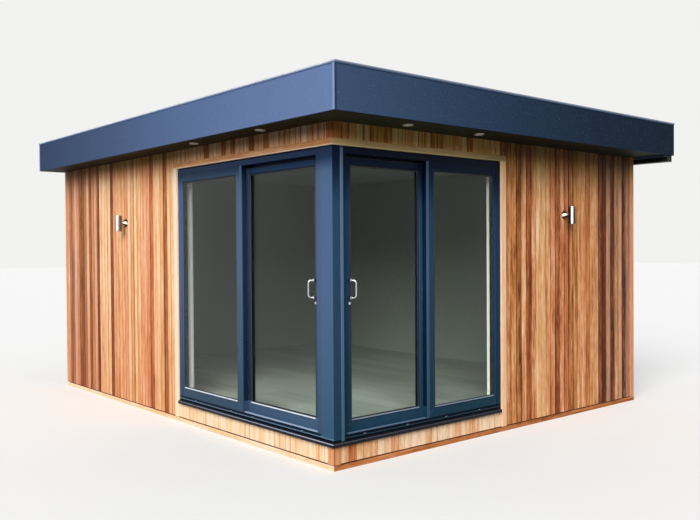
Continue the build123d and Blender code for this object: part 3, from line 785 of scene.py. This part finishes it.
def soffit_boards():
    """Boards under the eaves, which run along their wall with joints that face down."""
    # On the front soffit a strong pale mix greys the boards as painted shade; the left soffit keeps
    # plain cedar
    for node, run, lines, bloom in (("front_soffit", 0, 5, 0.75), ("left_soffit", 1, 4, 0.0)):
        low, high = (np.array(corner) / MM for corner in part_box(node))
        edges = np.linspace(low[1 - run], high[1 - run], lines)
        across, depth = board_sections(edges, high[2] - low[2])
        rings = []
        for end in (low[run], high[run]):
            pair = [np.full_like(across, end), across]
            rings.append(np.stack([pair[run], pair[1 - run], low[2] + depth], -1) * MM)
        bars(f"{node}_boards", np.stack(rings, 1), soffit_cedar, slot="soffit_timber",
             stands_for=[node], across=BOARD_SIDES,
             **tones(len(edges) - 1, 3 + run, salmon=(1, 3), bloom=bloom))


# Doors

# Each sash: its outline's low and high corners, then those of its glass
DOORS = {
    "front": {"fixed": ((910.5, 228.0), (1716.0, 2150.0), (1005.5, 303.0), (1683.0, 2076.0)),
              "sliding": ((103.0, 223.0), (953.5, 2130.0), (215.0, 311.0), (873.5, 2076.0))},
    "left": {"fixed": ((1122.0, 228.0), (2078.0, 2150.0), (1217.0, 303.0), (2045.0, 2076.0)),
             "sliding": ((164.0, 223.0), (1165.0, 2130.0), (276.0, 311.0), (1085.0, 2076.0))}}
FACE_DEPTH = {"fixed": 10.0, "sliding": 57.0}

fitting = partial(bars, slot="frame_metal")


def glazing():
    """Each unit is two 4 mm panes with ground edges on a black spacer, held by black gaskets on
    both faces. Profiles are (inset, depth) from the sash's face."""
    pane = np.array([(1.2, 0.0), (0.2, 0.8), (0.2, 3.2), (1.2, 4.0)])
    panes = (("outer", clear_glass("float_glass", 1.18), 10.0),
             ("inner", clear_glass("coated_inner_glass", 1.06), 30.0))
    rings = (("spacers", coated_metal("black_warm_edge_spacer", "0A0D10", 0.4, 0.1),
              [[(0.3, 14.1), (5.8, 14.1), (6.6, 15.5), (6.6, 28.5), (5.8, 29.9), (0.3, 29.9)]]),
             ("gaskets", plastic("black_gasket_rubber", "101216", 0.6),
              [[(0.1, 9.95), (3.6, 9.95), (3.2, 8.99), (-1.0, 8.35)],
               [(0.1, 35.65), (3.2, 35.01), (3.6, 34.05), (0.1, 34.05)]]))
    for name, body, sides, kind in (
            ("fixed", "building", ("front", "left"), "fixed"),
            ("front_sliding", "front_door", ("front",), "sliding"),
            ("left_sliding", "left_door", ("left",), "sliding")):
        face = FACE_DEPTH[kind]
        for part, made_of, depth in panes:
            bars(f"{name}_glazing_{part}_panes",
                 [slab(side, DOORS[side][kind][2:], pane + (0, face + depth)) for side in sides],
                 made_of, body, "glass", [f"{name}_glass"])
        for part, made_of, profiles in rings:
            fitting(f"{name}_glazing_{part}",
                    [round_hole(side, DOORS[side][kind][2:], np.array(profile) + (0, face))
                     for side in sides for profile in profiles], made_of, body, closed=True)


def sash_details():
    """Hairline mitres on the sash corners; under each pane a bead painted pale as its highlight,
    with a dark strip below it as the painted shadow of a groove; and the small drain caps along
    each sill, painted pale as their highlight."""
    seam = coated_metal("mitre_seam", "56708F", roughness=0.4)
    bright = two_tone_metal("bead_edge_painted_highlight", "D8E6F6", "7F92A6")
    dark = two_tone_metal("bead_groove_painted_shadow", "26364E", "0C1E30")
    for kind, face in FACE_DEPTH.items():
        for side in DOORS:
            body = "building" if kind == "fixed" else f"{side}_door"
            low, high, hole_low, hole_high = DOORS[side][kind]
            lines = []
            for x, x_in in ((low[0], hole_low[0]), (high[0], hole_high[0])):
                for z, z_in in ((low[1], hole_low[1]), (high[1], hole_high[1])):
                    ends = np.array([(x, z), (x_in, z_in)])
                    step = (ends[1] - ends[0]) / np.linalg.norm(ends[1] - ends[0])
                    ends += np.array([[6.0], [-21.0]]) * step
                    aside = np.array([-step[1], step[0]]) * 0.7
                    ring = ends[:, None] + np.array([[-1.0], [1.0], [0.0]]) * aside
                    line = place(
                        side, ring[..., 0], np.array([0.2, 0.2, -0.5]) + face, ring[..., 1])
                    turn = (x == low[0]) != (z == low[1])
                    lines.append(line[:, ::-1] if turn != (side == "left") else line)
            fitting(f"{side}_{kind}_mitres", lines, seam, body)
            foot = hole_low[1] - (2.5 if kind == "fixed" else 8.0 if side == "left" else 5.0)
            for part, made_of, low_edge, high_edge, back in (
                    ("bead", bright, foot, foot + 7.5, 9.6),
                    ("groove", dark, foot - 6.0, foot - 0.2, 0.4)):
                section = [(face - 0.5, low_edge), (face - 0.5, high_edge),
                           (face + back, high_edge), (face + back, low_edge)]
                fitting(f"{side}_{kind}_{part}",
                        [straight_run(side, hole_low[0], hole_high[0], section)], made_of, body)
    cap = [(0.0, 6.0), (0.0, 3.4), (1.2, 2.2)]
    caps = [slab(side, ((middle - 10, 212.2), (middle + 10, 217.8)), cap)
            for side, places in (("left", (140, 362, 988, 1300, 1850)),
                                 ("front", (283, 700, 1115, 1500))) for middle in places]
    fitting("drain_caps", caps, coated_metal("drain_cap_painted_highlight", "647A93"))


def door_frames():
    """Finishes of the frames, sashes and handles, and the thin edges and cill below them."""
    finish_with(door_coating("anthracite_frame_rails", "4C6082", "1A3450", 105.0, 10.0, foot=0.8),
                "front_frame_rails", "left_frame_rails")
    finish_with(door_coating("anthracite_frame_jambs", "4E5B7E", "183652", 57.0, 10.0),
                "front_frame_jambs", "left_frame_jambs")
    finish_with(
        door_coating("anthracite_corner_post", "4A6488", "2B4765", 57.0, 12.0, 5.8), "corner_post")
    finish_with(
        door_coating("anthracite_fixed_sash", "4A5E7A", "24405A", 51.9, 12.0, 9.0, "46607F"),
        "fixed_sashes")
    finish_with(
        door_coating("anthracite_sliding_sash", "2F4D70", "2C4865", 98.9, 59.0, shaded_from=1086.0),
        "front_sliding_sash", "left_sliding_sash")
    finish_with(
        bright_metal("polished_chrome_handle", "B9BEC4", 0.14), "front_handle", "left_handle")
    seal = plastic("black_seal_and_painted_shadow", "03070F", 0.6, 0.0, 0.05)
    cill = cill_metal()
    # The threshold step is pale as a painted highlight
    step = two_tone_metal("threshold_step_coating", "98AECC", "5A7592")
    for name, made_of, front_run, left_run, section in (
            ("threshold_steps", step, (73.6, 909.9), (134.6, 1121.4),
             [(18.0, 228.2), (18.0, 231.5), (19.5, 233.0), (37.5, 233.6), (39.0, 232.4),
              (39.0, 228.2)]),
            ("sash_foot_seals", seal, (73.6, 1715.6), (134.6, 2077.6),
             [(5.0, 222.6), (5.0, 227.9), (5.9, 227.9), (5.9, 222.6)])):
        fitting(name,
                [straight_run("front", *front_run, section),
                 straight_run("left", *left_run, section)], made_of)
    # At the frame's foot a black strip is painted shadow in the gap over the cill, and a pale edge
    # above it is painted highlight
    edge = two_tone_metal("frame_foot_edge_coating", "5C7892", "24404F")
    for name, made_of, low, high, out in (("frame_foot_shadow_strip", seal, 193.3, 202.0, 4.8),
                                          ("frame_foot_edge", edge, 204.8, 211.6, 5.2)):
        corner_run(name, [(out, low), (out, high), (5.9, high), (5.9, low)], FRONT_OPENING - 1,
                   LEFT_OPENING - 1, made_of, mitred=False, slot="frame_metal")
    for name, short, section in (
            ("door_cill_nose", 26, [(-24, 163), (-28, 166), (-28, 186), (-25.5, 189.5),
                                    (4.9, 193), (4.9, 163)]),
            ("door_cill_bed", 0, [(5, 163), (5, 193), (126, 193), (126, 163)])):
        corner_run(name, section, FRONT_OPENING - short, LEFT_OPENING - short, cill,
                   mitred=False, slot="cill_metal", stands_for=["door_cills"], bevel_mm=0.8)


# Roof, rainwater and lamps

def roof_pieces():
    """Finishes of the fascias, caps and gutter, lapped seams on the sheet and gutter brackets."""
    # Painted light: the side fascias, the left one facing the sky, are a paler blue than the front
    # and back
    finish_with(fascia_coating(
        "anthracite_fascia_ends", "3E5578", 0, -2.16, 2.0,
        [(0.0, "FCFFFF"), (0.3, "BEC4C5"), (0.45, "9EA8A9"), (0.7, "707F83"),
         (1.0, "4A6064")]), "fascia_front_back")
    finish_with(fascia_coating(
        "anthracite_fascia_sides", "647CAB", 1, -2.69, 2.37,
        [(0.0, "FFFFFF"), (0.37, "D5D9DB"), (0.65, "A4AEB1"), (1.0, "76838A")]), "fascia_sides")
    finish_with(corner_strip_metal(), "fascia_corner_strips")
    finish_with(edge_cap_metal(), "roof_edge_trim")
    finish_with(coated_metal("roof_panel_facing", "15171A", 0.5, 0.1), "roof_panel")
    sheet = rubber_membrane()
    finish_with(sheet, "roof_membrane")
    seams = []
    for middle in (560.0, 1960.0, 3360.0):
        rows = []
        for x in (-249.0, 3840.0):
            top = 2642.0 - 152.0 * (x + 250.0) / 4041.0
            y = middle + np.array([-32.0, -28.0, 28.0, 32.0, 32.0, -32.0])
            rows.append(place("front", x, y, top + np.array([0.4, 1.8, 1.8, 0.4, -3.0, -3.0])))
        seams.append(rows)
    bars("roof_sheet_laps", seams, sheet, slot="membrane")
    black = plastic("black_rainwater_plastic", "090B0E", 0.5, 0.03, 0.15)
    finish_with(black, "gutter", "downpipe")
    low, high = (np.array(corner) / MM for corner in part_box("gutter"))
    x = np.array([low[0] + 3.2, high[0] - 3.2, high[0] - 3.2, low[0] + 3.2])
    z = high[2] + np.array([-5.0, -5.0, -1.0, -1.0])
    hooks = [[np.column_stack([x, np.full(4, middle + half), z]) * MM for half in (-10.0, 10.0)]
             for middle in np.linspace(low[1] + 260, high[1] - 260, 6)]
    bars("gutter_brackets", hooks, black, slot="gutter_plastic", bevel_mm=0.8)


def lamps():
    """Up and down wall lamps, turned from stainless steel, and opal lenses for all lamps."""
    lens = frosted_lens()
    upper = np.array(
        [(31, 51), (30.3, 51.8), (30.3, 53.2), (31, 54), (31, 72.5), (30.4, 74.4), (28.5, 75),
         (25.5, 74), (24.5, 62), (0, 62)])
    shell = np.concatenate([upper[::-1] * (1, -1), upper])
    cone = [(0, -0.2), (37.5, -0.2), (38, -2.5), (36.5, -7), (32, -13), (25, -21), (18, -31),
            (14, -42), (13, -52), (0, -52)]
    # Painted reflections: dark and bright bands on the mounts and on each lamp body
    bands = [(0.0, "140C08"), (0.5, "2C2018"), (0.58, "FFFFFF"), (0.72, "F0E8DE"),
             (0.79, "3A3028"), (1.0, "1C1410")]
    centres = {"front": in_frame(2643.0, -80.0, 1778.0), "left": in_frame(-80.0, 3150.0, 1753.0)}
    shine = {"front": [(0.0, "2A2826"), (0.22, "46423E"), (0.31, "FFFFFF"), (0.5, "FFF8EE"),
                       (0.6, "443626"), (1.0, "2E2418")],
             "left": [(0.0, "86737C"), (0.2, "A8989C"), (0.3, "FFFFFF"), (0.47, "FFF4E8"),
                      (0.58, "AAA094"), (0.85, "8E8478"), (1.0, "54423A")]}
    for side, centre in centres.items():
        turned(f"{side}_lamp_body", [centre], "z", shell,
               lamp_steel(f"brushed_stainless_painted_reflection_{side}", centre, shine[side]), "lamp_steel",
               ["wall_lights"])
    for side, axis, mount, toward in (
            ("front", "y", in_frame(2643.0, 0.0, 1784.0), (-0.5, 0.0, 0.86)),
            ("left", "x", in_frame(0.0, 3150.0, 1759.0), (0.0, -0.5, 0.86))):
        turned(f"{side}_lamp_mount", [mount], axis, cone,
               lamp_steel(f"polished_stainless_painted_reflection_{side}", mount, bands, toward, 76), "lamp_steel",
               ["wall_lights"])
    dome = [(0, 6.5), (9, 6.0), (17, 4.0), (23.8, 0.4), (0, 0.2)]
    for name, way in (("lamp_lenses_up", 1), ("lamp_lenses_down", -1)):
        turned(name, list(centres.values()), "z", [(r, way * (62 + p)) for r, p in dome], lens,
               "lamp_steel")
    finish_with(bright_metal("satin_downlight_rim", "D9D3C4", 0.38), "soffit_lights")
    spots = [in_frame(x, -179.0, SOFFIT) for x in (538.0, 1293.0)]
    spots += [in_frame(-135.0, y, SOFFIT) for y in (650.0, 1595.0)]
    turned("downlight_lenses", spots, "z",
           [(0, -3.1), (25.4, -3.1), (25.4, -3.6), (19, -4.9), (10, -5.5), (0, -5.7)], lens,
           "downlight_metal")


def inside():
    """The room that shows through the glass: painted walls and ceiling, and a laminate floor. The
    paint on walls and ceiling is darkened to grey-green as painted shade for the dim room.
    """
    finish_with(wall_paint("wall_paint_in_painted_shade", "7E8A81"), "front_wall", "left_wall",
                "back_wall", "right_wall", "door_headers")
    finish_with(wall_paint("ceiling_paint_in_painted_shade", "98A39C"), "ceiling")
    finish_with(laminate(), "floor_deck")
    finish_with(cedar("tanalised_floor_frame", "near", "7A8660"), "floor_frame")


# Floor, light and camera

def stage_floor():
    """A flat pale floor, seen by the camera as plain off-white, and greener and darker to the
    soft light that it sends back up, as ground is."""
    size = 60.0
    points = [(-size, -size, 0), (size, -size, 0), (size, size, 0), (-size, size, 0)]
    floor = mesh_object("studio_floor", points, [(0, 1, 2, 3)])
    add = material("matt_studio_floor", Roughness=0.9, Emission_Color="F2F2F0")
    seen = eye_sees(add)
    finish_with(feed(add, Base_Color=add("Blend", seen, "23271E", "E4E8EC"),
                     Emission_Strength=add("MULTIPLY", seen, 0.1)), floor)


def studio_world(strength):
    """Soft light from above: dimmer near the horizon and brighter towards the zenith, while the
    camera, gloss and glass see a plain pale backdrop."""
    world = bpy.context.scene.world = bpy.data.worlds.new("studio_sky")
    add = nodes_for(world)
    up = add("SeparateXYZ", add("TexCoord", out="Generated"), out=2)
    sky = add("ValToRGB", up, stops=[(0.0, "14171A"), (0.3, "8A9199"), (0.8, "FFFFFF")])
    add("OutputWorld", out=None,
        Surface=add("MixShader", eye_sees(add), add("Background", sky, strength),
                    add("Background", "F2F2F0", 1.0)))


def lamp(name, direction, strength, angle_degrees, colour):
    """A soft sun that shines from a direction. Its angle is the width of its disc."""
    data = bpy.data.lights.new(name, "SUN")
    data.energy = strength
    data.angle = np.radians(angle_degrees)
    data.color = linear(colour)[:3]
    holder = bpy.data.objects.new(name, data)
    bpy.context.scene.collection.objects.link(holder)
    holder.rotation_euler = (-Vector(direction)).to_track_quat("-Z", "Y").to_euler()


def camera():
    """The photograph's view: the eye is 1.51 m up, and looks 49.5 degrees to the left of +X."""
    data = bpy.data.cameras.new("photo_view")
    data.sensor_width, data.clip_end = 36.0, 200.0
    data.lens = 806.94 * 36.0 / 700.0
    eye = bpy.data.objects.new("photo_view", data)
    bpy.context.scene.collection.objects.link(eye)
    turn = Matrix.Translation((-3.428 - 1.8925, -4.193 - 2.335, 1.512))
    for axis, degrees in (("Z", 49.5 - 90), ("X", 90 - 0.9154), ("Z", -0.3763)):
        turn = turn @ Matrix.Rotation(np.radians(degrees), 4, axis)
    eye.matrix_world = turn
    bpy.context.scene.camera = eye


camera()
stage_floor()
bpy.context.scene.view_settings.view_transform = "Standard"
studio_world(0.5)
lamp("soft_key", (-0.72, -0.54, 0.50), 4.4, 46, "FFF8F0")
walls_of_boards()
corner_angles()
cedar_trims()
soffit_boards()
glazing()
sash_details()
door_frames()
roof_pieces()
lamps()
inside()
